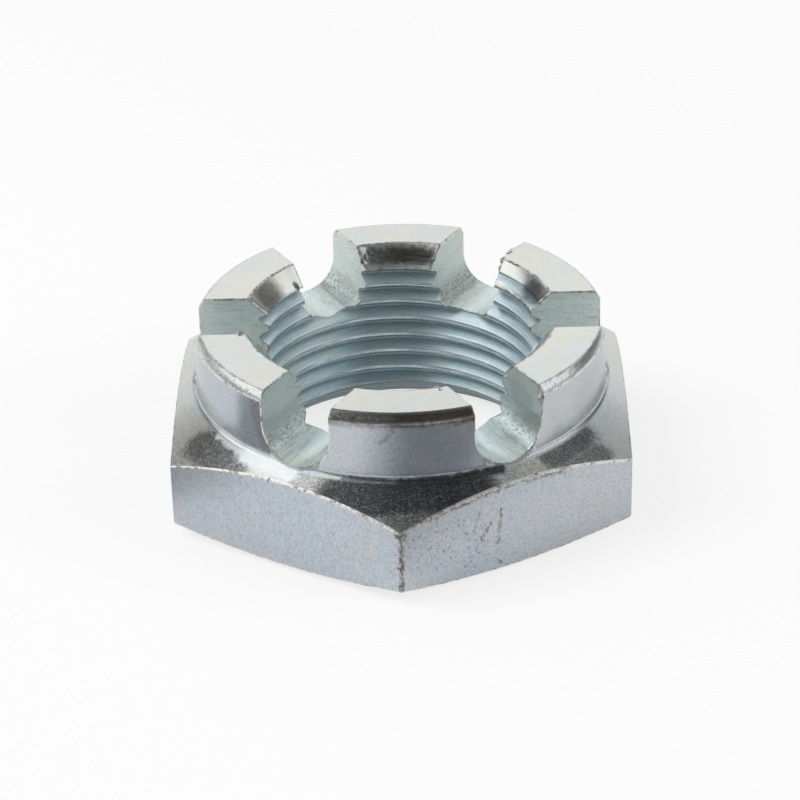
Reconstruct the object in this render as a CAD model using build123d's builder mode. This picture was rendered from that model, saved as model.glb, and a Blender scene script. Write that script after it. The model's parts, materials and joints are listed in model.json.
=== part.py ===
from build123d import *
from math import ceil, cos, pi, radians, sqrt, tan
import os

os.makedirs("parts", exist_ok=True)

# Low castle nut, M30 x 2, in one piece.
# The origin is the centre of the flat bearing face, and +Z runs up the thread towards the crown.
# Lengths are in millimetres and angles in degrees.

# Thread, right-handed and of metric section. It starts under the bearing face, inside the countersink.
thread_diameter = 30.0
thread_pitch = 2.0
thread_flank_angle = 30.0
thread_start_height = -1.4
countersink_diameter = 32.0
countersink_angle = 90.0

# Hexagon, with two of its corners on the Y axis.
across_flats = 46.0
hexagon_height = 11.0
hexagon_edge_radius = 0.3
bearing_face_diameter = 42.7
lower_chamfer_angle = 15.0
upper_chamfer_angle = 28.0

# Crown
nut_height = 18.0
crown_diameter = 42.2
crown_foot_radius = 0.6
crown_edge_width = 0.55
crown_edge_height = 0.9

# Slots for the split pin, one over each flat of the hexagon.
slot_width = 7.5
slot_floor_height = 11.0
slot_turn = 0.75

# Radii and heights that follow from these sizes.
HEXAGON_SIDES = 6
thread_v_height = thread_pitch * sqrt(3) / 2
thread_radius = thread_diameter / 2
minor_radius = thread_radius - thread_v_height * 5 / 8
thread_turns = ceil((nut_height - thread_start_height) / thread_pitch)
groove_root_width = thread_pitch / 8
groove_mouth_radius = minor_radius - thread_v_height / 8
groove_depth = thread_radius - groove_mouth_radius
groove_mouth_width = groove_root_width + 2 * groove_depth * tan(radians(thread_flank_angle))
countersink_radius = countersink_diameter / 2
countersink_depth = (countersink_radius - minor_radius) / tan(radians(countersink_angle / 2))
bearing_radius = bearing_face_diameter / 2
crown_radius = crown_diameter / 2
corner_radius = across_flats / 2 / cos(pi / HEXAGON_SIDES)
blank_radius = corner_radius + slot_width
lower_chamfer_height = (blank_radius - bearing_radius) * tan(radians(lower_chamfer_angle))
upper_chamfer_height = (blank_radius - crown_radius) * tan(radians(upper_chamfer_angle))

# One slot's cutter: a bar with rounded ends, upright in its section, from the axis out past the hexagon.
with BuildPart() as slot_cutter:
    with BuildSketch(Plane.YZ):
        with Locations((0, slot_floor_height + nut_height / 2)):
            SlotOverall(nut_height, slot_width, rotation=90)
    extrude(amount=blank_radius)

# The tap's path: the groove's section, carried up the bore along one helix.
with BuildPart() as thread_cutter:
    with BuildLine():
        Helix(thread_pitch, thread_turns * thread_pitch, thread_radius, center=(0, 0, thread_start_height))
    with BuildSketch(Plane.XZ):
        with BuildLine():
            Polyline(
                (thread_radius, thread_start_height - groove_root_width / 2),
                (thread_radius, thread_start_height + groove_root_width / 2),
                (groove_mouth_radius, thread_start_height + groove_mouth_width / 2),
                (groove_mouth_radius, thread_start_height - groove_mouth_width / 2),
                close=True,
            )
        make_face()
    sweep(is_frenet=True)

with BuildPart() as castle_nut:
    # Turned blank: bearing face, both chamfers, crown and countersunk bore in one section.
    with BuildSketch(Plane.XZ) as blank_section:
        with BuildLine():
            Polyline(
                (minor_radius, countersink_depth),
                (countersink_radius, 0),
                (bearing_radius, 0),
                (blank_radius, lower_chamfer_height),
                (blank_radius, hexagon_height - upper_chamfer_height),
                (crown_radius, hexagon_height),
                (crown_radius, nut_height - crown_edge_height),
                (crown_radius - crown_edge_width, nut_height),
                (countersink_radius, nut_height),
                (minor_radius, nut_height - countersink_depth),
                close=True,
            )
        make_face()
        crown_foot = blank_section.vertices().sort_by_distance((crown_radius, hexagon_height))[0]
        fillet(crown_foot, crown_foot_radius)
    revolve(axis=Axis.Z)

    # Hexagon: its flats cut through the two chamfers, which leaves their curved edges.
    with BuildSketch() as hexagon:
        RegularPolygon(across_flats / 2, HEXAGON_SIDES, major_radius=False, rotation=90)
        fillet(hexagon.vertices(), hexagon_edge_radius)
    extrude(amount=nut_height, mode=Mode.INTERSECT)

    # Slots milled through the crown, bore and countersink alike.
    with PolarLocations(0, HEXAGON_SIDES, start_angle=slot_turn):
        add(slot_cutter.part, mode=Mode.SUBTRACT)

    # Thread tapped from end to end, so that it breaks off at the slots.
    add(thread_cutter.part, mode=Mode.SUBTRACT)

castle_nut.part.label = "castle_nut"
export_step(castle_nut.part, "parts/castle_nut.step")
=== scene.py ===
"""Castle nut: a low M30 x 2 slotted nut in zinc-plated steel, cut, dressed and lit on its frame."""

import json
import math

import bpy
from bpy.props import FloatProperty, FloatVectorProperty, IntProperty, PointerProperty
from bpy.types import Operator, Panel, PropertyGroup
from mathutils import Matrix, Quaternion, Vector
from mathutils.kdtree import KDTree


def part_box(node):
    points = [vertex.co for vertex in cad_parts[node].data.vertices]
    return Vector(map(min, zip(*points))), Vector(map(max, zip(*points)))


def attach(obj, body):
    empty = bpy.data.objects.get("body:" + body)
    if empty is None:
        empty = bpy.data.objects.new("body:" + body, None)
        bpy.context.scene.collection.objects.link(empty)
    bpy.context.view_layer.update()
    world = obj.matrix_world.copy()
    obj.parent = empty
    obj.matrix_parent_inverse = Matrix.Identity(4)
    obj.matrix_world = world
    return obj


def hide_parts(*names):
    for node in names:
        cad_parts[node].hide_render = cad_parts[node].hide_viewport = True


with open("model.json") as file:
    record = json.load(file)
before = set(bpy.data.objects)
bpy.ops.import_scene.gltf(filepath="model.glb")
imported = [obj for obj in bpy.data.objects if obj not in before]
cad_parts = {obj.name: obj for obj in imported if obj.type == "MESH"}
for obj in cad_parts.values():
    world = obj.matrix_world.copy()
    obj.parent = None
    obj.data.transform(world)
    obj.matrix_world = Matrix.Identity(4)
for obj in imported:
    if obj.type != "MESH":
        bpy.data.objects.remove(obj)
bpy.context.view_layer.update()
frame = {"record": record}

bl_info = {
    "name": "Castle Nut",
    "version": (1, 0, 0),
    "blender": (4, 5, 0),
    "location": "3D View > Sidebar > Nut",
    "description": "Cuts a threaded castle nut, plates it with zinc and sets up a plain studio",
    "category": "Add Mesh",
}

MM = 0.001
SIDES = 6
NODE = "castle_nut"
NODE_LOW, NODE_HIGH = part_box(NODE)
THREAD_MOUNT = next(m for m in frame["record"]["mounts"] if m["name"] == "thread")
MINOR_RADIUS = THREAD_MOUNT["dims"]["r_mm"] * MM

# The finishes, in the order of the nut's material slots.
FLATS, TURNED, MILLED, EDGES, THREAD = range(5)


# ---------------------------------------- sizes and colours


def length(name, description, default):
    return FloatProperty(name=name, description=description, default=default, unit="LENGTH", precision=5)


def angle(name, description, degrees):
    default = math.radians(degrees)
    return FloatProperty(name=name, description=description, default=default, subtype="ANGLE")


def colour(name, description, default):
    return FloatVectorProperty(
        name=name, description=description, default=default, size=3, min=0, max=1, subtype="COLOR"
    )


class NutSizes(PropertyGroup):
    """Sizes of the nut"""

    across_flats: length("Across flats", "Width over two opposite flats", NODE_HIGH.x - NODE_LOW.x)
    nut_height: length("Nut height", "Bearing face to the tops of the prongs", NODE_HIGH.z)
    hexagon_height: length("Hexagon height", "Bearing face to the foot of the crown", 11 * MM)
    hexagon_edge: length("Hexagon edge", "Rounding of the hexagon's upright edges", 0.17 * MM)
    bearing_diameter: length("Bearing face", "Outer diameter of the flat bearing face", 42.7 * MM)
    lower_chamfer: angle("Lower chamfer", "Slope of the chamfer round the bearing face", 15)
    upper_chamfer: angle("Upper chamfer", "Slope of the chamfer round the crown", 28)
    crown_diameter: length("Crown diameter", "Outer diameter of the crown", 42.2 * MM)
    crown_foot: length("Crown foot", "Fillet between the crown and the chamfer", 0.6 * MM)
    crown_edge_width: length("Crown edge width", "Radial width of the crown's edge", 0.55 * MM)
    crown_edge_height: length("Crown edge height", "Height of the crown's edge", 0.9 * MM)
    countersink_diameter: length("Countersink", "Mouth of the 90 degree countersinks", 32 * MM)
    slot_width: length("Slot width", "Width of the split-pin slots", 7.5 * MM)
    slot_turn: angle("Slot turn", "How far the slots sit from the middles of the flats", 0.75)
    thread_diameter: length("Thread diameter", "Major diameter of the thread", 30 * MM)
    thread_pitch: length("Thread pitch", "Rise of the thread in one turn", 2 * MM)
    thread_start: length("Thread start", "Height of a groove over the back corner", 1.1 * MM)
    crest_round: length("Crest rounding", "How far the thread's crests are eased", 0.1 * MM)
    edge_break: length("Edge break", "Width of the broken edges", 0.18 * MM)
    ring_steps: IntProperty(name="Steps round", description="Facets round the turned faces", default=360)


class ZincColours(PropertyGroup):
    """Colours of the plating and of the studio"""

    plate: colour("Plate", "Zinc on the turned faces", (0.775, 0.785, 0.745))
    # A darker lavender copy of the plate: painted bluish light and shade on the crown's wall.
    wall: colour("Crown wall", "Zinc on the crown's wall", (0.60, 0.635, 0.68))
    # Duller zinc, tinted bluish as painted light.
    rolled: colour("Rolled", "Zinc on the rolled flats", (0.64, 0.68, 0.73))
    recess: colour("Recess", "Zinc in the slots", (0.80, 0.90, 0.87))
    thread: colour("Thread", "Zinc in the thread", (0.78, 0.90, 0.93))
    rub: colour("Rub", "Zinc rubbed bright on the edges", (0.86, 0.85, 0.81))
    stain: colour("Stain", "Brown stain along edges and in scratches", (0.13, 0.10, 0.075))
    # Also the colour of the painted dark reflections on the chamfer and the rims, and of the painted
    # dark run-out.
    soot_and_painted_dark: colour("Soot", "Dark grey soot on the chamfer and the rims", (0.045, 0.05, 0.055))
    # Painted light on some walls of the slots.
    pale: colour("Pale", "Paler zinc high on some walls of the slots", (0.90, 0.99, 0.97))
    # Colour of the painted glints and painted highlights.
    painted_glint: colour("Glint", "Bare bright zinc in sparks and rubbed places", (0.95, 0.97, 1.0))
    dust: colour("Dust", "Warm film on the tops of the prongs", (0.80, 0.72, 0.58))
    floor: colour("Floor", "Paper under the nut", (0.90, 0.90, 0.90))


class StudioSettings(PropertyGroup):
    """Camera and lamps"""

    azimuth: angle("Azimuth", "Turn of the camera round the nut", 0.8855)
    elevation: angle("Elevation", "Height of the camera above the horizon", 29.6622)
    roll: angle("Roll", "Tilt of the camera about its own view", -1.3283)
    distance: length("Distance", "Camera to the aim point", 291.9 * MM)
    aim_side: length("Aim side", "Aim point to the side of the axis", -0.161 * MM)
    aim_up: length("Aim up", "Aim point above the reference height, across the view", -1.26 * MM)
    aim_height: length("Aim height", "Reference height on the axis", 9.2 * MM)
    lens: FloatProperty(name="Lens", description="Focal length in millimetres", default=127.19)
    lamp_strength: FloatProperty(name="Lamps", description="Light of the lamps", default=1.0)
    fill: FloatProperty(name="Fill", description="Even light of the room", default=0.45)


# ---------------------------------------- selecting and editing


def on_nut(azimuth, radius, height):
    """A place in millimetres. Azimuth is 0 degrees at the front and grows to the right."""
    turn = math.radians(azimuth)
    return Vector((radius * math.sin(turn), -radius * math.cos(turn), height))


def leave_edit():
    if bpy.context.mode != "OBJECT":
        bpy.ops.object.mode_set(mode="OBJECT")


def only(piece):
    """Leaves edit mode, and makes one object the selected and active one."""
    leave_edit()
    bpy.ops.object.select_all(action="DESELECT")
    piece.select_set(True)
    bpy.context.view_layer.objects.active = piece


def new_primitive(name, add, **settings):
    """Adds a primitive, and writes its place into its mesh."""
    bpy.ops.object.select_all(action="DESELECT")
    add(**settings)
    piece = bpy.context.object
    piece.name = name
    apply_place(piece)
    return piece


def edit(piece, mode, action="DESELECT"):
    """Enters edit mode in vertex, edge or face mode, with nothing selected or with everything."""
    only(piece)
    bpy.ops.object.mode_set(mode="EDIT")
    bpy.ops.mesh.select_mode(type=mode)
    bpy.ops.mesh.select_all(action=action)


def select_vertices(piece, wanted):
    """Selects the vertices whose place passes a test, and stays in edit mode."""
    edit(piece, "VERT")
    leave_edit()
    for vertex in piece.data.vertices:
        vertex.select = wanted(vertex.co)
    bpy.ops.object.mode_set(mode="EDIT")


def select_edges(piece, chosen):
    """Selects edges by their numbers, and stays in edit mode."""
    edit(piece, "EDGE")
    leave_edit()
    for number in chosen:
        piece.data.edges[number].select = True
    bpy.ops.object.mode_set(mode="EDIT")


def close_edit(piece):
    """Leaves edit mode with the faces pointing outwards."""
    bpy.ops.mesh.select_all(action="SELECT")
    bpy.ops.mesh.normals_make_consistent(inside=False)
    leave_edit()


def add_finishes(piece, finishes, number):
    """Gives a piece all the finishes, and its faces one of them, so that Booleans keep them apart."""
    for finish in finishes:
        piece.data.materials.append(finish)
    for face in piece.data.polygons:
        face.material_index = number


def apply_modifier(piece, kind, **settings):
    only(piece)
    modifier = piece.modifiers.new(kind, kind)
    for name, value in settings.items():
        setattr(modifier, name, value)
    bpy.ops.object.modifier_apply(modifier=modifier.name)


def apply_place(piece):
    """Writes a piece's place, turn and scale into its mesh."""
    only(piece)
    bpy.ops.object.transform_apply(location=True, rotation=True, scale=True)


def combine(piece, tool, operation, number):
    """Cuts, joins or intersects a piece with a tool in one of its finishes. The tool is used up."""
    add_finishes(tool, piece.data.materials, number)
    apply_modifier(piece, "BOOLEAN", operation=operation, object=tool, solver="MANIFOLD")
    bpy.data.objects.remove(tool)


# ---------------------------------------- the nut's forms


def crown_foot_arc(sizes, steps=6):
    """Corners of the fillet between the chamfer and the crown's wall, from the chamfer up."""
    crown_radius, foot, slope = sizes.crown_diameter / 2, sizes.crown_foot, sizes.upper_chamfer
    centre_height = sizes.hexagon_height - foot * math.tan(slope) + foot / math.cos(slope)
    corners = []
    for step in range(steps + 1):
        turn = math.pi + (math.pi / 2 - slope) * (1 - step / steps)
        radius = crown_radius + foot + foot * math.cos(turn)
        corners.append((radius, centre_height + foot * math.sin(turn)))
    return corners


def blank_section(sizes):
    """(radius, height) corners of the turned blank, with the countersunk bore."""
    countersink_radius = sizes.countersink_diameter / 2
    countersink_depth = countersink_radius - MINOR_RADIUS
    bearing_radius, crown_radius = sizes.bearing_diameter / 2, sizes.crown_diameter / 2
    # Wide enough to clear the hexagon's corners.
    blank_radius = sizes.across_flats * 0.62
    lower_height = (blank_radius - bearing_radius) * math.tan(sizes.lower_chamfer)
    upper_drop = (blank_radius - crown_radius) * math.tan(sizes.upper_chamfer)
    return [
        (MINOR_RADIUS, countersink_depth),
        (countersink_radius, 0),
        (bearing_radius, 0),
        (blank_radius, lower_height),
        (blank_radius, sizes.hexagon_height - upper_drop),
        *crown_foot_arc(sizes),
        (crown_radius, sizes.nut_height - sizes.crown_edge_height),
        (crown_radius - sizes.crown_edge_width, sizes.nut_height),
        (countersink_radius, sizes.nut_height),
        (MINOR_RADIUS, sizes.nut_height - countersink_depth),
    ]


def turned_blank(sizes):
    """The turned blank: one circle, drawn out and resized from corner to corner of the section."""
    section = blank_section(sizes)
    radius, height = section[0]
    blank = new_primitive(
        "blank",
        bpy.ops.mesh.primitive_circle_add,
        vertices=sizes.ring_steps,
        radius=radius,
        location=(0, 0, height),
    )
    select_vertices(blank, lambda place: True)
    for next_radius, next_height in section[1:] + section[:1]:
        bpy.ops.mesh.extrude_region_move(TRANSFORM_OT_translate={"value": (0, 0, next_height - height)})
        share = next_radius / radius
        bpy.ops.transform.resize(value=(share, share, 1), center_override=(0, 0, next_height))
        radius, height = next_radius, next_height
    bpy.ops.mesh.select_all(action="SELECT")
    bpy.ops.mesh.remove_doubles(threshold=0.0001 * MM)
    close_edit(blank)
    return blank


def hexagon_bar(sizes):
    """A length of hexagon bar, with its upright edges rounded and two of them on the Y axis."""
    bar = new_primitive(
        "hexagon",
        bpy.ops.mesh.primitive_cylinder_add,
        vertices=SIDES,
        radius=sizes.across_flats / 2 / math.cos(math.pi / SIDES),
        depth=sizes.nut_height * 1.2,
        location=(0, 0, sizes.nut_height / 2),
    )
    places = [vertex.co for vertex in bar.data.vertices]
    upright = [e.index for e in bar.data.edges if places[e.vertices[0]].xy == places[e.vertices[1]].xy]
    select_edges(bar, upright)
    bpy.ops.mesh.bevel(offset=sizes.hexagon_edge, segments=3, affect="EDGES")
    close_edit(bar)
    return bar


def slot_cutter(sizes, turn):
    """A round-bottomed bar through the crown: a cylinder whose upper half is lifted over the prongs."""
    radius = sizes.slot_width / 2
    middle = sizes.hexagon_height + radius
    cutter = new_primitive(
        "slot_cutter",
        bpy.ops.mesh.primitive_cylinder_add,
        vertices=96,
        radius=radius,
        depth=sizes.across_flats * 1.3,
        location=(0, 0, middle),
        rotation=(0, math.pi / 2, turn),
    )
    select_vertices(cutter, lambda place: place.z > middle + radius / 1000)
    bpy.ops.transform.translate(value=(0, 0, sizes.nut_height - sizes.hexagon_height))
    close_edit(cutter)
    return cutter


def widen(middle, factor, radius):
    """Makes the selected edge of the tooth wider or narrower about the tooth's middle height."""
    bpy.ops.transform.resize(value=(1, 1, factor), center_override=(radius, 0, middle))


def thread_cutter(sizes):
    """The tap's path: a 60 degree tooth with eased corners on a right-hand helix."""
    pitch, major_radius = sizes.thread_pitch, sizes.thread_diameter / 2
    round_depth = sizes.crest_round
    flank = math.tan(math.radians(30))
    root_width = pitch / 8
    turns_below = 2
    turns = math.ceil(sizes.nut_height / pitch) + 2 * turns_below
    # The helix passes the back corner a quarter turn after its start.
    middle = sizes.thread_start - pitch * (turns_below + 0.25)
    radius = MINOR_RADIUS + round_depth
    width = root_width + 2 * (major_radius - radius) * flank
    centre = ((major_radius + radius) / 2, 0, middle)
    tooth = new_primitive(
        "thread_cutter",
        bpy.ops.mesh.primitive_plane_add,
        size=1,
        location=centre,
        rotation=(math.pi / 2, 0, 0),
    )
    edit(tooth, "VERT", "SELECT")
    bpy.ops.transform.resize(value=(major_radius - radius, 1, width), center_override=centre)
    select_vertices(tooth, lambda place: place.x > major_radius - round_depth)
    widen(middle, root_width / width, major_radius)
    bpy.ops.mesh.bevel(offset=root_width / 3, segments=2, affect="VERTICES")
    select_vertices(tooth, lambda place: place.x < radius + round_depth / 10)
    # From the flank, which stands at 60 degrees to the bore, the crest is eased in two facets.
    for facet_angle, share in ((40, 0.64), (20, 0.65), (90, 3)):
        depth = round_depth * share
        bpy.ops.mesh.extrude_region_move(TRANSFORM_OT_translate={"value": (-depth, 0, 0)})
        radius -= depth
        wider = width + 2 * depth / math.tan(math.radians(facet_angle))
        widen(middle, wider / width, radius)
        width = wider
    bpy.ops.mesh.select_mode(type="FACE")
    bpy.ops.mesh.select_all(action="SELECT")
    bpy.ops.mesh.dissolve_faces()
    bpy.ops.mesh.select_all(action="SELECT")
    bpy.ops.mesh.delete(type="ONLY_FACE")
    leave_edit()
    apply_modifier(
        tooth,
        "SCREW",
        angle=2 * math.pi,
        screw_offset=pitch,
        iterations=turns,
        steps=120,
        render_steps=120,
        use_merge_vertices=False,
    )
    edit(tooth, "EDGE", "SELECT")
    bpy.ops.mesh.fill_holes(sides=0)
    close_edit(tooth)
    return tooth


# ---------------------------------------- clean edges


def edge_angles(mesh):
    """The angle between the two faces at each edge, by the edge's number."""
    normals = {}
    for face in mesh.polygons:
        for key in face.edge_keys:
            normals.setdefault(key, []).append(face.normal.copy())
    return [pair[0].angle(pair[1], 0) for pair in (normals[edge.key] for edge in mesh.edges)]


def merge_flat_faces(piece):
    """Merges faces that lie in one plane, within each finish."""
    edit(piece, "FACE", "SELECT")
    bpy.ops.mesh.dissolve_limited(angle_limit=math.radians(0.05), delimit={"MATERIAL"})
    leave_edit()


def drop_slivers(piece, sharp, reach):
    """Dissolves the facet lines that run closer to a sharp edge than its break is wide.

    Marks are set along the sharp edges, and each facet line is measured against them between its ends.
    """
    mesh = piece.data
    places = [vertex.co for vertex in mesh.vertices]
    angles = edge_angles(mesh)
    marks = []
    for edge, turn in zip(mesh.edges, angles):
        if turn > sharp:
            start, end = places[edge.vertices[0]], places[edge.vertices[1]]
            steps = max(1, int((end - start).length / (reach / 3)))
            marks += [start.lerp(end, step / steps) for step in range(steps + 1)]
    tree = KDTree(len(marks))
    for number, mark in enumerate(marks):
        tree.insert(mark, number)
    tree.balance()
    slivers = []
    for edge, turn in zip(mesh.edges, angles):
        if turn > sharp / 2:
            continue
        start, end = places[edge.vertices[0]], places[edge.vertices[1]]
        span = (end - start).length
        margin = min(0.5, 1.6 * reach / span)
        steps = int(span * (1 - 2 * margin) / reach) + 1
        shares = [margin + (1 - 2 * margin) * step / steps for step in range(steps + 1)]
        if min(tree.find(start.lerp(end, share))[2] for share in shares) < reach:
            slivers.append(edge.index)
    select_edges(piece, slivers)
    bpy.ops.mesh.dissolve_edges(use_verts=True)
    leave_edit()


def break_edges(piece, sizes):
    """Breaks the sharp edges of the blank with a narrow rounding that has its own finish.

    The slot floors run out flat on the chamfer, so no edge is broken there.
    """
    merge_flat_faces(piece)
    drop_slivers(piece, math.radians(25), sizes.edge_break * 4 / 3)
    mesh = piece.data
    floor_top = sizes.hexagon_height + sizes.crown_foot
    mouth_radius = sizes.crown_diameter / 2 - sizes.edge_break
    sharp = []
    for edge, turn in zip(mesh.edges, edge_angles(mesh)):
        ends = [mesh.vertices[number].co for number in edge.vertices]
        in_mouth = all(end.z < floor_top and end.xy.length > mouth_radius for end in ends)
        on_slot = any(end.z > sizes.hexagon_height - sizes.edge_break for end in ends)
        if turn > math.radians(30) and not (in_mouth and on_slot):
            sharp.append(edge.index)
    select_edges(piece, sharp)
    bpy.ops.mesh.bevel(
        offset=sizes.edge_break, segments=2, affect="EDGES", material=EDGES, clamp_overlap=False
    )
    close_edit(piece)


# ---------------------------------------- burrs and nicks


# What the cutters left on this nut and what it met since: the Boolean that makes it, its place, its
# half sizes in millimetres (along the radius, round the nut, upwards) and its lean from the radius.
DAMAGE = (
    ("UNION", (136.6, 15.9, 17.0), (0.7, 0.3, 0.6), -12),
    ("UNION", (138.2, 17.3, 17.4), (1.2, 0.5, 0.5), -12),
    ("UNION", (139.5, 18.9, 17.4), (1.2, 0.6, 0.5), -12),
    ("UNION", (140.0, 20.0, 17.0), (0.7, 0.6, 0.8), -12),
    ("UNION", (-76.0, 16.5, 17.9), (0.45, 0.3, 0.35), 0),
    ("UNION", (13.5, 16.3, 17.9), (0.6, 0.35, 0.25), 20),
    ("UNION", (-165.5, 15.0, 16.8), (0.3, 0.16, 0.7), 0),
    ("UNION", (-164.0, 15.0, 16.7), (0.3, 0.14, 0.6), 0),
    ("DIFFERENCE", (-130.5, 14.4, 16.4), (0.4, 0.3, 0.8), 0),
    ("DIFFERENCE", (41.0, 20.8, 17.0), (0.45, 0.35, 0.9), 0),
)


def add_damage(nut):
    """Raises the burrs and cuts the nicks, each from a small uneven lump."""
    for number, (operation, place, halves, lean) in enumerate(DAMAGE):
        lump = new_primitive("lump", bpy.ops.mesh.primitive_ico_sphere_add, subdivisions=3, radius=1)
        edit(lump, "VERT", "SELECT")
        bpy.ops.transform.vertex_random(offset=0.14, seed=number)
        bpy.ops.transform.resize(value=[half * MM for half in halves], center_override=(0, 0, 0))
        close_edit(lump)
        lump.rotation_euler.z = math.radians(place[0] + lean - 90)
        lump.location = on_nut(*place) * MM
        apply_place(lump)
        combine(nut, lump, operation, EDGES)


# ---------------------------------------- shader expressions


class Wire:
    """A shader socket that takes part in Python arithmetic; each operation adds a Math node."""

    def __init__(self, finish, socket):
        self.finish = finish
        self.socket = socket

    def maths(self, operation, *others):
        return self.finish.maths(operation, self, *others)

    def ramp(self, *limits):
        return self.finish.ramp(self, *limits)

    def __add__(self, other):
        return self.maths("ADD", other)

    def __sub__(self, other):
        return self.maths("SUBTRACT", other)

    def __mul__(self, other):
        return self.maths("MULTIPLY", other)

    def __truediv__(self, other):
        return self.maths("DIVIDE", other)

    def __pow__(self, other):
        return self.maths("POWER", other)

    def __rsub__(self, other):
        return self.finish.maths("SUBTRACT", other, self)

    __radd__ = __add__


class Finish:
    """One material or world tree, written as expressions."""

    def __init__(self, tree):
        self.tree = tree
        tree.nodes.clear()

    def node(self, kind, settings=None, **inputs):
        """Adds a node: its settings, then the values or wires of its sockets (spaces in names as _)."""
        node = self.tree.nodes.new(kind)
        for name, value in (settings or {}).items():
            setattr(node, name, value)
        for name, value in inputs.items():
            self.feed(node.inputs[name.replace("_", " ")], value)
        return node

    def feed(self, socket, value):
        if isinstance(value, Wire):
            self.tree.links.new(value.socket, socket)
        elif socket.type == "RGBA":
            socket.default_value = (*value, 1)
        else:
            socket.default_value = value

    def fill(self, node, values):
        """Feeds a node's sockets in their order."""
        for socket, value in zip(node.inputs, values):
            self.feed(socket, value)
        return node

    def end(self, shader, output="ShaderNodeOutputMaterial"):
        """Ends the tree in a shader node."""
        self.node(output, Surface=self.wire(shader))

    def wire(self, node, output=0):
        return Wire(self, node.outputs[output])

    def maths(self, operation, *values):
        return self.wire(self.fill(self.node("ShaderNodeMath", {"operation": operation}), values))

    def vector_maths(self, operation, *values):
        """Vector maths; the length and dot product are numbers."""
        node = self.fill(self.node("ShaderNodeVectorMath", {"operation": operation}), values)
        return self.wire(node, "Value" if operation in ("LENGTH", "DOT_PRODUCT") else "Vector")

    def strongest(self, *values):
        """The largest of several values."""
        found = values[0]
        for value in values[1:]:
            found = self.maths("MAXIMUM", found, value)
        return found

    def clamp(self, value):
        return self.wire(self.node("ShaderNodeClamp", Value=value))

    def ramp(self, value, low, high, to_low=0.0, to_high=1.0):
        """value, smoothly taken from the range low-high to to_low-to_high, and held there."""
        settings = {"interpolation_type": "SMOOTHSTEP", "clamp": True}
        limits = {"From_Min": low, "From_Max": high, "To_Min": to_low, "To_Max": to_high}
        return self.wire(self.node("ShaderNodeMapRange", settings, Value=value, **limits))

    def mix(self, share, first, second):
        """A colour between two colours."""
        node = self.node("ShaderNodeMix", {"data_type": "RGBA"})
        self.feed(node.inputs[0], share)
        self.feed(node.inputs[6], first)
        self.feed(node.inputs[7], second)
        return self.wire(node, 2)

    def mix_shaders(self, share, first, second):
        """A shader node between two shader nodes."""
        return self.fill(self.node("ShaderNodeMixShader"), (share, self.wire(first), self.wire(second)))

    def vector(self, x, y, z):
        return self.wire(self.node("ShaderNodeCombineXYZ", X=x, Y=y, Z=z))

    def axes(self, vector):
        """The three parts of a vector."""
        node = self.node("ShaderNodeSeparateXYZ", Vector=vector)
        return [self.wire(node, axis) for axis in range(3)]

    def scaled(self, vector, share):
        node = self.node("ShaderNodeVectorMath", {"operation": "SCALE"}, Vector=vector, Scale=share)
        return self.wire(node, "Vector")

    def object_place(self):
        """The point's place on its object, in metres."""
        return self.wire(self.node("ShaderNodeTexCoord"), "Object")

    def noise(self, place, scale, detail, roughness, seed):
        look = {"Scale": scale, "Detail": detail, "Roughness": roughness}
        node = self.node("ShaderNodeTexNoise", {"noise_dimensions": "4D"}, Vector=place, W=seed, **look)
        return self.wire(node, "Fac")

    def patches(self, look, low, high, to_low=0.0, to_high=1.0):
        """Noise, given by what its method asks for, sharpened into patches."""
        return self.ramp(self.noise(*look), low, high, to_low, to_high)

    def near_edge(self, reach):
        """1 at an edge, falling to 0 about the given number of millimetres from it."""
        bevel = self.node("ShaderNodeBevel", {"samples": 6}, Radius=reach * MM)
        face = self.wire(self.node("ShaderNodeNewGeometry"), "Normal")
        return self.ramp(self.vector_maths("DOT_PRODUCT", self.wire(bevel), face), 0.88, 0.995, 1, 0)

    def looked_at(self, mirrored=1.0):
        """1 where the camera looks, a share of it in reflections or through glass, and 0 otherwise."""
        rays = self.node("ShaderNodeLightPath")
        kinds = ("Camera", "Glossy", "Transmission")
        camera, glossy, through = (self.wire(rays, f"Is {kind} Ray") for kind in kinds)
        return self.strongest(camera, self.strongest(glossy, through) * mirrored)

    def bump(self, height, depth):
        return self.wire(self.node("ShaderNodeBump", Height=height, Distance=depth), "Normal")


def new_finish(name):
    material = bpy.data.materials.new(name)
    material.use_nodes = True
    return material, Finish(material.node_tree)


def toned(tint, share):
    """A colour times one share, or times a share of its own for each part."""
    shares = share if isinstance(share, tuple) else (share,) * 3
    return tuple(part * own for part, own in zip(tint, shares))


# ---------------------------------------- zinc finishes


# How far the noise shakes the outlines of the marks, in millimetres.
SHAKE = 0.9


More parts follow.
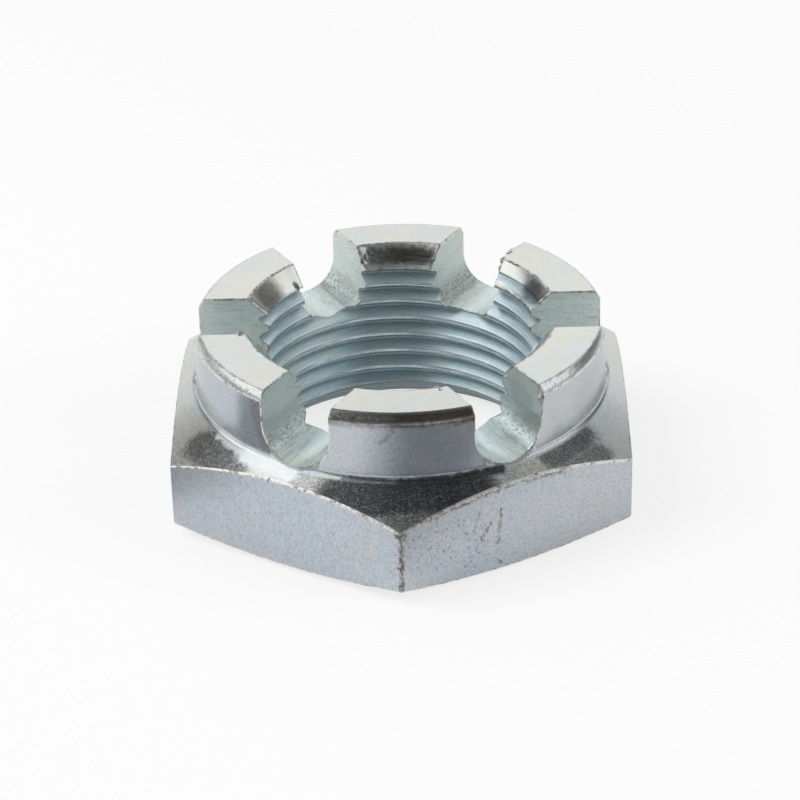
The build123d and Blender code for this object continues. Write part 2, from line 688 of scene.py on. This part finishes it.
class Ground:
    """Where a point of the nut lies, in millimetres: plain, round the axis, and in its own sixth."""

    def __init__(self, finish, turn=0.0):
        self.finish = finish
        self.x, self.y, self.z = (part * 1000 for part in finish.axes(finish.object_place()))
        self.place = finish.vector(self.x, self.y, self.z)
        self.radius = (self.x * self.x + self.y * self.y) ** 0.5
        self.ring = finish.vector(self.x / self.radius, self.y / self.radius, 0.0)
        sector = math.pi * 2 / SIDES
        around = finish.maths("ARCTAN2", self.y, self.x) - turn
        self.sector = finish.maths("ROUND", around / sector)
        local = around - self.sector * sector
        self.along = self.radius * finish.maths("COSINE", local)
        self.across = self.radius * finish.maths("SINE", local)
        shake = finish.node("ShaderNodeTexNoise", Vector=self.place, Scale=1.7, Detail=2.0)
        moved = finish.vector_maths(
            "MULTIPLY_ADD", finish.wire(shake, "Color"), (SHAKE,) * 3, (-SHAKE / 2,) * 3
        )
        self.shaken = finish.vector_maths("ADD", self.place, moved)

    def near(self, start, end, reach):
        """1 along a straight line between two places on the nut, falling to 0 at its reach.

        A place is azimuth, radius and height. A long arc is made of shorter lines.
        """
        finish, begin = self.finish, on_nut(*start)
        line = on_nut(*end) - begin
        away = finish.vector_maths("SUBTRACT", self.shaken, tuple(begin))
        along = finish.vector_maths("DOT_PRODUCT", away, tuple(line / line.length_squared))
        away = finish.vector_maths("SUBTRACT", away, finish.scaled(tuple(line), finish.clamp(along)))
        return finish.ramp(finish.vector_maths("LENGTH", away), reach, reach * 0.35)

    def marks(self, places):
        """The strongest of several marks at each point: start, end, reach and weight of each."""
        return self.finish.strongest(
            *(self.near(start, end, reach) * weight for start, end, reach, weight in places)
        )


# Marks on this nut, by start, end (azimuth, radius and height), reach and weight. Those named painted
# are painted shade, painted dark reflections and painted highlights.
# Painted dark reflections on the chamfer.
CONE_PAINTED_DARK = (
    ((-58, 23.2, 9.7), (-46, 23.4, 9.7), 3.4, 0.85),
    ((30, 22.3, 10.2), (44, 22.1, 10.3), 3.0, 0.5),
    ((43, 22.0, 10.4), (54, 21.7, 10.6), 3.2, 0.95),
    ((43, 23.8, 9.4), (54, 24.2, 9.2), 2.4, 0.85),
    ((-14, 23.4, 9.8), (17, 22.8, 10), 4.8, 1.1),
    ((-27, 22.4, 10.2), (-14, 23.2, 9.8), 3.4, 0.5),
    ((-1, 25.6, 8.5), (3, 24.6, 9), 2.4, 0.85),
)
# Painted dark reflections on the front prong's edge and on the countersinks' rims.
RIM_PAINTED_DARK = (
    ((-20, 20.9, 17.5), (0, 20.9, 17.5), 1.3, 0.92),
    ((0, 20.9, 17.5), (20, 20.9, 17.5), 1.3, 1.0),
    ((-167, 15, 17), (180, 15, 17), 1.5, 0.95),
    ((180, 15, 17), (170, 15, 17), 1.5, 0.95),
    ((-118, 15, 17), (-112, 15, 17), 1.9, 0.6),
    ((110, 15, 17), (116, 15, 17), 1.7, 0.7),
)
# Painted highlights on the chamfer near the crown's foot, left of the front.
CONE_PAINTED_HIGHLIGHT = (
    ((-56, 21.5, 10.9), (-44, 21.7, 10.8), 0.9, 0.8),
    ((-44, 21.7, 10.8), (-30, 21.9, 10.6), 1.5, 1.0),
)
# Painted highlights at the ends of the back countersink.
RIM_PAINTED_HIGHLIGHT = (
    ((165, 15.7, 17.7), (164, 14.6, 16.6), 0.5, 0.9),
    ((-165.5, 15.7, 17.7), (-165, 14.6, 16.6), 0.5, 0.8),
)
# Darker along the front of the crown's foot.
FOOT_DARK = (
    ((-15, 21.5, 10.8), (0, 21.5, 10.8), 0.5, 0.75),
    ((0, 21.6, 10.8), (14, 21.6, 10.8), 0.75, 0.95),
    ((14, 21.6, 10.8), (27, 21.6, 10.8), 0.75, 1.0),
)
WALL_DARK = (
    ((64, 21, 13.2), (72, 21, 12.8), 0.4, 0.4),
    ((77, 21, 15), (78, 21, 12.4), 0.6, 0.4),
    ((-41.5, 21, 16.6), (-38, 21, 12.4), 1.5, 0.6),
    ((-2, 21, 16.2), (-5, 21, 15), 0.5, 0.6),
    ((6, 21, 16.5), (15, 21, 12.5), 3.0, 0.3),
    ((62, 21, 13.5), (90, 21, 15), 4.5, 0.36),
)
SLOT_DARK = (
    ((45, 17.5, 12.6), (41.5, 20.6, 13.6), 1.7, 0.5),
    ((43, 16.5, 15.5), (42, 18.5, 15), 2.0, 0.25),
    ((-158, 15.6, 12.6), (-158, 17.5, 13), 1.4, 0.3),
)
# Painted light: parts of the slots' walls made paler.
SLOT_PAINTED_LIGHT = (
    ((-163, 15, 15.5), (-161, 20.5, 15.5), 3.4, 0.35),
    ((-103, 15, 15.5), (-101, 20.5, 15.5), 3.4, 0.6),
    ((103, 15, 15.5), (101, 20.5, 15.5), 3.4, 1.0),
)
# Painted shade over the back of the thread and low in the bore.
THREAD_PAINTED_SHADE = (
    ((-174, 14.5, 2), (-178, 14.5, 15), 7.5, 0.7),
    ((-150, 14.5, 1), (150, 14.5, 1), 2.2, 0.4),
)
FLAT_SCRATCHES = (
    ((25, 23, 7.3), (24, 23.1, 3.5), 0.27, 0.75),
    ((22, 23.2, 6.2), (16, 23.9, 2.2), 0.28, 0.7),
    ((23, 23.1, 1.9), (25, 23.1, 1.2), 0.28, 0.7),
    ((19, 23.5, 7.6), (17, 23.8, 5.4), 0.26, 0.6),
    ((0, 26.5, 9.2), (0, 26.5, 7.9), 1.0, 1.0),
    ((0, 26.5, 7.6), (0, 26.5, 0.5), 0.4, 0.85),
    ((6, 25.2, 8.6), (18, 23.5, 9.4), 0.3, 0.75),
    ((18, 23.5, 9.4), (30, 23, 9.7), 0.3, 0.85),
    ((30, 23, 9.7), (43, 23.6, 9.3), 0.3, 0.7),
)
FLAT_PITTED = (
    ((6, 25.2, 6), (18, 23.5, 4), 5.0, 0.75),
    ((-55, 25, 8.4), (-40, 23.5, 8.8), 1.6, 0.55),
)
# The depth that a finish's relief stands for.
GRAIN_DEPTH = 0.03 * MM


def zinc(finish, material, colour, roughness, normal, brushed=0.0, metallic=1.0):
    """Ends a finish in plated metal. Brushed metal blurs across its grooves, round the axis."""
    shader = finish.node(
        "ShaderNodeBsdfPrincipled",
        Base_Color=colour,
        Metallic=metallic,
        Roughness=roughness,
        Anisotropic=brushed,
        Anisotropic_Rotation=0.25,
        Normal=normal,
    )
    finish.end(shader)
    return material


def cloudy(finish, ground, tint, seed):
    """Plating colour that drifts a little between its own tint, a cool one and a warm one."""
    cool = toned(tint, (0.92, 0.99, 1.06))
    warm = tuple(min(1, part) for part in toned(tint, (1.05, 1.0, 0.95)))
    drift = finish.noise(ground.place, 0.16, 3, 0.6, seed)
    base = finish.mix(drift.ramp(0.35, 0.65), cool, warm)
    spot = finish.noise(ground.place, 1.6, 4, 0.7, seed + 3)
    return finish.mix(spot.ramp(0.3, 0.75), base, tint)


def soiled(finish, ground, colour, stain, reach, seed):
    """Brown dirt in broken lines along the edges."""
    patchy = finish.noise(ground.place, 1.5, 5, 0.8, seed)
    near = finish.near_edge(reach)
    return finish.mix(near * patchy.ramp(0.4, 0.54, 0.1, 0.95), colour, stain)


def turned_finish(colours):
    """Lathe-turned faces: grooves round the axis, which glitter on the chamfer."""
    material, finish = new_finish("turned_zinc")
    ground = Ground(finish)
    place, ring, z, radius = ground.place, ground.ring, ground.z, ground.radius
    feed = z - radius * 0.53

    # The faces, by their radius and height.
    chamfer = radius.ramp(21.2, 21.7)
    wall = radius.ramp(20.9, 21.05) * (1 - chamfer)
    crown_edge = z.ramp(17.0, 17.2) * z.ramp(17.98, 17.9)
    top, under_top = z.ramp(17.96, 17.99), z.ramp(17.96, 17.9)
    foot = z.ramp(11.7, 11.2)
    crest = radius.ramp(14.3, 14.0)
    lower_cone = z.ramp(2.4, 1.9) * radius.ramp(16.6, 16.3)

    # Grooves, and grit that is coarse where the chamfer's painted highlight lies.
    bright = ground.marks(CONE_PAINTED_HIGHLIGHT)
    grooves = finish.noise(ring, 22, 0, 0.5, feed * 4.5)
    lines = finish.noise(ring, 2, 1, 0.5, feed * 2.5 + 40)
    grit = finish.patches((place, 6, 0, 0.5, 11), 0.6, 0.72)
    height = grooves * (chamfer * 0.17 + 0.04) + lines * (chamfer * 0.1 + 0.03)
    height = height + grit * (chamfer * (bright * 0.12 + 0.035) + crown_edge * 0.09 + wall * 0.008)
    normal = finish.bump(height, GRAIN_DEPTH)

    # Grime on the chamfer, deepened into painted dark reflections where the marks lie, with painted
    # glints among them and a darker band along the front of the foot, all drawn out by the turning.
    tint = cloudy(finish, ground, colours.plate, 5)
    # The crown's wall takes the darker lavender copy of the plate: painted bluish light and shade.
    tint = finish.mix(wall * 0.9, tint, cloudy(finish, ground, colours.wall, 35))
    painted_dark_cone = chamfer * ground.marks(CONE_PAINTED_DARK)
    grains = finish.noise(place, 6.5, 2, 0.75, 61) * 0.35
    grains = grains + finish.noise(ring, 42, 2, 0.7, feed * 8) * 0.65
    speckle = grains.ramp(0.4, 0.56)
    grime_and_painted_dark = finish.ramp(grains + painted_dark_cone * 0.15, 0.53, 0.61) * (painted_dark_cone * 0.55 + 0.4)
    grime_and_painted_dark = grime_and_painted_dark * chamfer * (1 - bright)
    dark_front_foot = ground.marks(FOOT_DARK) * foot * grains.ramp(0.38, 0.5, 0.7, 1)
    colour = finish.mix(finish.strongest(grime_and_painted_dark, dark_front_foot), tint, colours.soot_and_painted_dark)
    # Painted glints in the painted dark patches.
    sparks = finish.patches((ring, 46, 2, 0.7, feed * 9 + 66), 0.56, 0.7) * chamfer
    colour = finish.mix(sparks * painted_dark_cone * 0.4, colour, colours.painted_glint)

    # Dusty tops, the worn and soiled edge of the crown, and painted dark reflections on the rims under
    # the tops, browner towards the right.
    dusty = finish.patches((place, 0.5, 4, 0.7, 77), 0.44, 0.62) * top
    colour = finish.mix(dusty * 0.3, colour, colours.dust)
    worn = finish.patches((place, 3.0, 4, 0.75, 48), 0.5, 0.62) * crown_edge
    worn = worn * radius.ramp(20.2, 20.5) * 0.5
    colour = finish.mix(worn, colour, colours.stain)
    painted_dark_rim = ground.marks(RIM_PAINTED_DARK) * under_top
    painted_dark_rim = painted_dark_rim * speckle.ramp(0, 1, ground.x.ramp(-4, 1, 0.2, 0.85), 1)
    browner = ground.x.ramp(-4, 3, 0.1, 0.55)
    colour = finish.mix(painted_dark_rim, colour, finish.mix(browner, colours.soot_and_painted_dark, colours.stain))

    # Brown specks, scratches and smudges.
    specks = finish.patches((place, 2.6, 5, 0.8, 21), 0.62, 0.68)
    scratches = finish.patches((ring, 5, 4, 0.7, feed * 4 + 9), 0.6, 0.67)
    streaks = finish.patches((ring, 12, 3, 0.7, z * 8), 0.5, 0.64)
    haze = finish.patches((place, 5, 3, 0.75, 33), 0.42, 0.66)
    smudge = finish.patches((place, 6, 3, 0.75, 90), 0.4, 0.6, 0.25, 1)
    marks = finish.strongest(
        specks * (wall * 0.6 + chamfer * 0.25 + 0.15),
        scratches * (wall + chamfer) * 0.45,
        streaks * wall * 0.32,
        haze * wall * 0.3,
        ground.marks(WALL_DARK) * wall * smudge,
    )
    colour = finish.mix(marks, colour, colours.stain)
    colour = soiled(finish, ground, colour, colours.stain, 0.26, 6)

    # Painted highlights on the chamfer and at the countersinks' ends, the thread's crests, and painted
    # shade on the countersink underneath.
    # Painted highlights, in the glint colour with less metal.
    rubbed = bright * speckle.ramp(0, 1, 1, 0.35) * foot
    rubbed = finish.strongest(rubbed, ground.marks(RIM_PAINTED_HIGHLIGHT))
    colour = finish.mix(rubbed, colour, colours.painted_glint)
    broken = finish.patches((ring, 5, 3, 0.65, z * 1.7), 0.4, 0.6)
    crest_tone = finish.mix(broken, toned(colours.thread, 0.45), colours.thread)
    colour = finish.mix(crest * 0.9, colour, crest_tone)
    # Painted shade on the countersink underneath, seen low in the bore.
    colour = finish.mix(lower_cone, colour, toned(colours.thread, 0.5))
    roughness = grooves.ramp(0.3, 0.7, 0.16, 0.24) + specks * 0.1 + crest * 0.14
    return zinc(finish, material, colour, roughness, normal, brushed=0.5, metallic=1 - rubbed * 0.6)


def flats_finish(colours):
    """Rolled flats: a soft satin with fine grain, small pits and brown scratches."""
    material, finish = new_finish("rolled_zinc")
    ground = Ground(finish)
    flat = ground.sector * 17
    face = finish.vector(ground.across, ground.z, flat)
    drawn = finish.vector(ground.across * 3.2, ground.z * 1.1, flat)
    grain = finish.noise(drawn, 1.6, 5, 0.75, 2)
    speckle = finish.noise(face, 4.4, 2, 0.75, 70)
    ripple = finish.noise(face, 0.5, 3, 0.6, 8)
    dents = finish.noise(drawn, 1.4, 1, 0.5, 52)
    normal = finish.bump(dents * 0.4 + ripple + speckle * 0.12, GRAIN_DEPTH)
    # The rolled colour's bluish tint is painted light.
    shade = cloudy(finish, ground, colours.rolled, 9)
    shade = finish.mix(grain.ramp(0.3, 0.7, 0.0, 0.3), shade, toned(colours.rolled, 0.6))
    shade = finish.mix(speckle.ramp(0.45, 0.66, 0.0, 0.4), shade, toned(colours.rolled, 0.45))
    pitted = ground.marks(FLAT_PITTED)
    pits = finish.ramp(finish.noise(face, 2.8, 5, 0.8, 31) + pitted * 0.055, 0.6, 0.66)
    region = finish.patches((face, 0.22, 2, 0.5, 12), 0.4, 0.6, 0.2, 0.7)
    broken = finish.patches((face, 3.4, 3, 0.7, 44), 0.42, 0.56, 0.1, 1)
    scratched = ground.marks(FLAT_SCRATCHES) * broken
    marks = finish.strongest(pits * finish.strongest(region, pitted), scratched)
    colour = finish.mix(marks, shade, colours.stain)
    colour = soiled(finish, ground, colour, colours.stain, 0.32, 16)
    roughness = grain.ramp(0.3, 0.7, 0.28, 0.42)
    return zinc(finish, material, colour, roughness, normal)


def milled_finish(colours, turn):
    """Milled slots: scratches along the cut, with mottled zinc where the wall meets the floor."""
    material, finish = new_finish("milled_zinc")
    ground = Ground(finish, turn)
    cut = finish.vector(ground.along * 0.35, ground.across * 3.2, ground.z * 3.2)
    streaks = finish.noise(cut, 1.2, 5, 0.75, ground.sector * 7)
    chatter = finish.noise(ground.place, 4.6, 3, 0.75, 4)
    furrows = finish.noise(cut, 1, 1, 0.5, ground.sector * 5 + 60)
    normal = finish.bump(furrows * 0.7, GRAIN_DEPTH)
    shade = cloudy(finish, ground, colours.recess, 13)
    shade = finish.mix(ground.z.ramp(12, 13.6), shade, toned(colours.recess, 0.8))
    # Painted light: some walls of the slots made paler.
    shade = finish.mix(ground.marks(SLOT_PAINTED_LIGHT), shade, colours.pale)
    shade = finish.mix(streaks.ramp(0.52, 0.36, 0.0, 0.42), shade, toned(colours.recess, 0.5))
    foot = ground.z.ramp(11.5, 12.2) * ground.z.ramp(13.6, 12.6)
    mottle = finish.strongest(
        chatter.ramp(0.48, 0.6) * (foot * 0.5 + 0.14),
        ground.marks(SLOT_DARK) * chatter.ramp(0.35, 0.6, 0.6, 1),
    )
    colour = finish.mix(mottle, shade, colours.stain)
    colour = soiled(finish, ground, colour, colours.stain, 0.24, 26)
    roughness = ground.z.ramp(11.6, 13, 0.22, 0.4) + streaks.ramp(0.3, 0.7, 0.0, 0.1)
    return zinc(finish, material, colour, roughness, normal, metallic=0.78)


def thread_finish(colours):
    """Tapped thread: fine lines along the helix in blue-green zinc, painted shade in the roots and over
    the back, and a painted dark run-out at the top.
    """
    material, finish = new_finish("tapped_zinc")
    ground = Ground(finish)
    lines = finish.noise(ground.ring, 4, 3, 0.6, ground.z * 4 + ground.radius * 5)
    normal = finish.bump(lines, 0.02 * MM)
    tint = cloudy(finish, ground, colours.thread, 17)
    # Painted shade in the roots of the thread and over its back.
    root = ground.radius.ramp(14.3, 14.9, 0.0, 0.55)
    root = finish.strongest(root, ground.marks(THREAD_PAINTED_SHADE))
    tint = finish.mix(root, tint, toned(colours.thread, (0.36, 0.42, 0.45)))
    dull = lines.ramp(0.62, 0.35, 0.0, 0.35)
    colour = finish.mix(dull, tint, toned(colours.thread, 0.5))
    # Painted dark over the thread's run-out, which would otherwise show as a bright line on the
    # countersink.
    painted_dark_run_out = ground.marks(RIM_PAINTED_DARK) * ground.z.ramp(15.9, 16.2)
    colour = finish.mix(painted_dark_run_out, colour, colours.soot_and_painted_dark)
    roughness = lines.ramp(0.3, 0.7, 0.18, 0.3)
    metallic = 0.64 + painted_dark_run_out * 0.36
    return zinc(finish, material, colour, roughness, normal, brushed=0.4, metallic=metallic)


def edge_finish(colours):
    """Broken edges: rubbed bright, and brown in places, with painted dark reflections along the rims and
    painted shade low in the bore.
    """
    material, finish = new_finish("edge_zinc")
    ground = Ground(finish)
    rub = finish.noise(ground.place, 1.8, 5, 0.8, 3)
    colour = finish.mix(rub.ramp(0.47, 0.6, 0.0, 0.75), colours.rub, colours.stain)
    crown = ground.z.ramp(16.8, 16.95) * ground.radius.ramp(20.2, 20.4)
    # The crown's edge takes part of the wall's painted bluish tint.
    colour = finish.mix(crown * 0.45, colour, colours.wall)
    # Painted dark reflections along the rims.
    colour = finish.mix(ground.marks(RIM_PAINTED_DARK) * 0.8, colour, colours.stain)
    # Painted shade low in the bore, in a dark copy of the thread's colour.
    lower_cone = ground.z.ramp(2.6, 2.2) * ground.radius.ramp(17.0, 16.6)
    colour = finish.mix(lower_cone, colour, toned(colours.thread, 0.35))
    normal = finish.bump(finish.noise(ground.place, 3, 4, 0.7, 19), GRAIN_DEPTH)
    roughness = rub.ramp(0.4, 0.7, 0.2, 0.45)
    return zinc(finish, material, colour, roughness, normal)


# ---------------------------------------- operators


class MESH_OT_castle_nut(Operator):
    """Cut the nut from a turned blank and hexagon bar, break its edges and tap its thread"""

    bl_idname = "mesh.castle_nut"
    bl_label = "Castle Nut"

    def execute(self, context):
        sizes, colours = context.scene.nut_sizes, context.scene.zinc_colours
        finishes = [
            flats_finish(colours),
            turned_finish(colours),
            milled_finish(colours, sizes.slot_turn),
            edge_finish(colours),
            thread_finish(colours),
        ]
        nut = hexagon_bar(sizes)
        nut.name = "castle_nut_zinc"
        add_finishes(nut, finishes, FLATS)
        combine(nut, turned_blank(sizes), "INTERSECT", TURNED)
        for pair in range(SIDES // 2):
            turn = sizes.slot_turn + pair * math.pi * 2 / SIDES
            combine(nut, slot_cutter(sizes, turn), "DIFFERENCE", MILLED)
        break_edges(nut, sizes)
        combine(nut, thread_cutter(sizes), "DIFFERENCE", THREAD)
        add_damage(nut)
        only(nut)
        bpy.ops.object.shade_smooth_by_angle(angle=math.radians(25))
        apply_modifier(nut, "WEIGHTED_NORMAL", keep_sharp=True)
        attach(nut, "root")
        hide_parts(NODE)
        return {"FINISHED"}


def direction(azimuth, elevation):
    """Unit vector from the nut to a place in the studio. Azimuth is 0 at the front, as on the nut."""
    flat = math.cos(elevation)
    return Vector((math.sin(azimuth) * flat, -math.cos(azimuth) * flat, math.sin(elevation)))


def only_reflected(piece):
    """Hides a piece from everything but reflections."""
    piece.visible_camera = False
    piece.visible_diffuse = False
    piece.visible_shadow = False
    piece.visible_transmission = False


# How white the floor looks to the camera, and the share of that white that reflections find.
FLOOR_WHITE = 0.75
FLOOR_MIRRORED = 0.27


def studio_floor(colours):
    """A wide sheet of paper under the nut. It looks white to the camera, and keeps the nut's shadow."""
    place = (0, 0, -0.02 * MM)
    floor = new_primitive("floor", bpy.ops.mesh.primitive_plane_add, size=4, location=place)
    material, finish = new_finish("floor_paper")
    paper = finish.node("ShaderNodeBsdfDiffuse", Color=colours.floor)
    white = finish.node("ShaderNodeEmission", Color=(1, 1, 1), Strength=1.0)
    finish.end(finish.mix_shaders(finish.looked_at(FLOOR_MIRRORED) * FLOOR_WHITE, paper, white))
    floor.data.materials.append(material)


def studio_room(settings):
    """A white room to the camera and in reflections, and an even grey fill for everything else."""
    world = bpy.data.worlds.new("room")
    bpy.context.scene.world = world
    world.use_nodes = True
    finish = Finish(world.node_tree)
    strength = settings.fill + finish.looked_at() * (1 - settings.fill)
    background = finish.node("ShaderNodeBackground", Color=(1, 1, 1), Strength=strength)
    finish.end(background, "ShaderNodeOutputWorld")


# The brightness of the tent's plain cloth. It is pale enough that no view finds the nut black.
CLOTH = 0.3

# What the tent's cloth shows from inside, each painted over the last: centre azimuth, half width,
# lowest and highest elevation, softness of its edge (degrees), and brightness.
TENT_PANELS = (
    (90, 95, 72, 120, 12, 0.15),
    (0, 26, 50, 72, 14, 0.18),
    (118, 22, 45, 71, 8, 0.6),
    (-105, 27, 47, 85, 6, 1.3),
    (180, 42, -20, 42, 8, 0.78),
    (180, 25, 18, 40, 8, 0.96),
    (-127, 9, 18, 47, 8, 0.16),
    (-118, 16, -20, 13, 8, 0.55),
    (-81, 38, 14, 73, 5, 1.2),
    (106, 12, 22, 42, 6, 1.1),
    (122, 16, 0, 28, 8, 0.2),
    (84, 20, 10, 46, 5, 1.0),
)


def studio_tent():
    """A grey tent over the nut with soft panels, pale and dark. Only reflections show it."""
    tent = new_primitive(
        "tent", bpy.ops.mesh.primitive_uv_sphere_add, segments=96, ring_count=48, radius=0.9
    )
    select_vertices(tent, lambda place: place.z < -0.1 * MM)
    bpy.ops.mesh.delete(type="VERT")
    leave_edit()
    material, finish = new_finish("tent_cloth")
    x, y, z = finish.axes(finish.vector_maths("NORMALIZE", finish.object_place()))
    azimuth = finish.maths("ARCTAN2", x, 0 - y) * math.degrees(1)
    elevation = finish.maths("ARCSINE", z) * math.degrees(1)
    light = CLOTH
    for centre, half, low, high, soft, brightness in TENT_PANELS:
        off_centre = finish.maths("ABSOLUTE", finish.maths("WRAP", azimuth - centre, 180, -180))
        panel = off_centre.ramp(half - soft / 2, half + soft / 2, 1, 0)
        panel = panel * elevation.ramp(low - soft / 2, low + soft / 2)
        panel = panel * elevation.ramp(high - soft / 2, high + soft / 2, 1, 0)
        light = light + panel * (brightness - light)
    finish.end(finish.node("ShaderNodeEmission", Color=(0.97, 0.99, 1.0), Strength=light))
    tent.data.materials.append(material)
    only_reflected(tent)


# Dark flags on the floor, seen only by reflections: name, place and size (millimetres), brightness.
FLOOR_FLAGS = (
    ("front_flag", 30, -52, 96, 50, 0.27),
    ("left_flag", -40, -18, 26, 24, 0.36),
)


def floor_flag(name, x, y, width, depth, brightness):
    """A dark card with soft edges that only reflections show."""
    flag = new_primitive(name, bpy.ops.mesh.primitive_plane_add, size=1)
    edit(flag, "FACE", "SELECT")
    bpy.ops.transform.resize(value=(width * MM, depth * MM, 1), center_override=(0, 0, 0))
    bpy.ops.transform.translate(value=(x * MM, y * MM, 0.1 * MM))
    leave_edit()
    material, finish = new_finish(name + "_card")
    on_card = finish.node(
        "ShaderNodeMapping",
        {"vector_type": "TEXTURE"},
        Vector=finish.object_place(),
        Location=(x * MM, y * MM, 0),
        Scale=(width * MM / 2, depth * MM / 2, 1),
    )
    across, along = (finish.maths("ABSOLUTE", part) for part in finish.axes(finish.wire(on_card))[:2])
    share = across.ramp(0.55, 1, 1, 0) * along.ramp(0.55, 1, 1, 0)
    clear = finish.node("ShaderNodeBsdfTransparent")
    dark = finish.node("ShaderNodeEmission", Color=(0.9, 0.95, 1), Strength=brightness)
    finish.end(finish.mix_shaders(share, clear, dark))
    flag.data.materials.append(material)
    only_reflected(flag)


# The soft lamps: name, azimuth and elevation (degrees), distance and size (metres), power (watts).
LAMPS = (
    ("left_lamp", -85, 50, 0.6, 0.4, 2.1),
    ("right_lamp", 78, 32, 0.6, 0.3, 1.05),
)


def add_to_studio(name, data, location, turn):
    """Adds a lamp or a camera at a place, turned by a quaternion."""
    item = bpy.data.objects.new(name, data)
    bpy.context.scene.collection.objects.link(item)
    item.location = location
    item.rotation_mode = "QUATERNION"
    item.rotation_quaternion = turn
    return item


def soft_lamp(name, azimuth, elevation, distance, size, power):
    """A square soft lamp that faces the nut, and that reflections don't show."""
    data = bpy.data.lights.new(name, "AREA")
    data.shape = "SQUARE"
    data.size = size
    data.energy = power
    towards = direction(math.radians(azimuth), math.radians(elevation))
    lamp = add_to_studio(name, data, towards * distance, towards.to_track_quat("Z", "Y"))
    lamp.visible_camera = False
    lamp.visible_glossy = False


def studio_camera(settings):
    """The camera, held by its azimuth, elevation and roll about the aim point."""
    back = direction(settings.azimuth, settings.elevation)
    side = Vector((math.cos(settings.azimuth), math.sin(settings.azimuth), 0))
    up = back.cross(side)
    aim = Vector((0, 0, settings.aim_height)) + side * settings.aim_side + up * settings.aim_up
    data = bpy.data.cameras.new("camera")
    data.lens = settings.lens
    data.clip_start = 0.01
    turn = Quaternion(back, settings.roll) @ back.to_track_quat("Z", "Y")
    bpy.context.scene.camera = add_to_studio("camera", data, aim + back * settings.distance, turn)


class SCENE_OT_nut_studio(Operator):
    """Set up the floor, the room, the tent, the flags, the lamps and the camera"""

    bl_idname = "scene.nut_studio"
    bl_label = "Nut Studio"

    def execute(self, context):
        settings = context.scene.nut_studio
        studio_floor(context.scene.zinc_colours)
        studio_room(settings)
        studio_tent()
        for flag in FLOOR_FLAGS:
            floor_flag(*flag)
        for *place, power in LAMPS:
            soft_lamp(*place, power * settings.lamp_strength)
        studio_camera(settings)
        context.scene.view_settings.view_transform = "Standard"
        return {"FINISHED"}


class VIEW3D_PT_castle_nut(Panel):
    """Sizes, colours and steps of the nut"""

    bl_label = "Castle Nut"
    bl_space_type = "VIEW_3D"
    bl_region_type = "UI"
    bl_category = "Nut"

    def draw(self, context):
        scene = context.scene
        for group in (scene.nut_sizes, scene.zinc_colours, scene.nut_studio):
            box = self.layout.box()
            for name in group.__annotations__:
                box.prop(group, name)
        for step in (MESH_OT_castle_nut, SCENE_OT_nut_studio):
            self.layout.operator(step.bl_idname)


CLASSES = (
    NutSizes,
    ZincColours,
    StudioSettings,
    MESH_OT_castle_nut,
    SCENE_OT_nut_studio,
    VIEW3D_PT_castle_nut,
)


def register():
    for cls in CLASSES:
        bpy.utils.register_class(cls)
    bpy.types.Scene.nut_sizes = PointerProperty(type=NutSizes)
    bpy.types.Scene.zinc_colours = PointerProperty(type=ZincColours)
    bpy.types.Scene.nut_studio = PointerProperty(type=StudioSettings)


def unregister():
    del bpy.types.Scene.nut_studio
    del bpy.types.Scene.zinc_colours
    del bpy.types.Scene.nut_sizes
    for cls in reversed(CLASSES):
        bpy.utils.unregister_class(cls)


def main():
    register()
    bpy.ops.mesh.castle_nut()
    bpy.ops.scene.nut_studio()


if __name__ == "__main__":
    main()
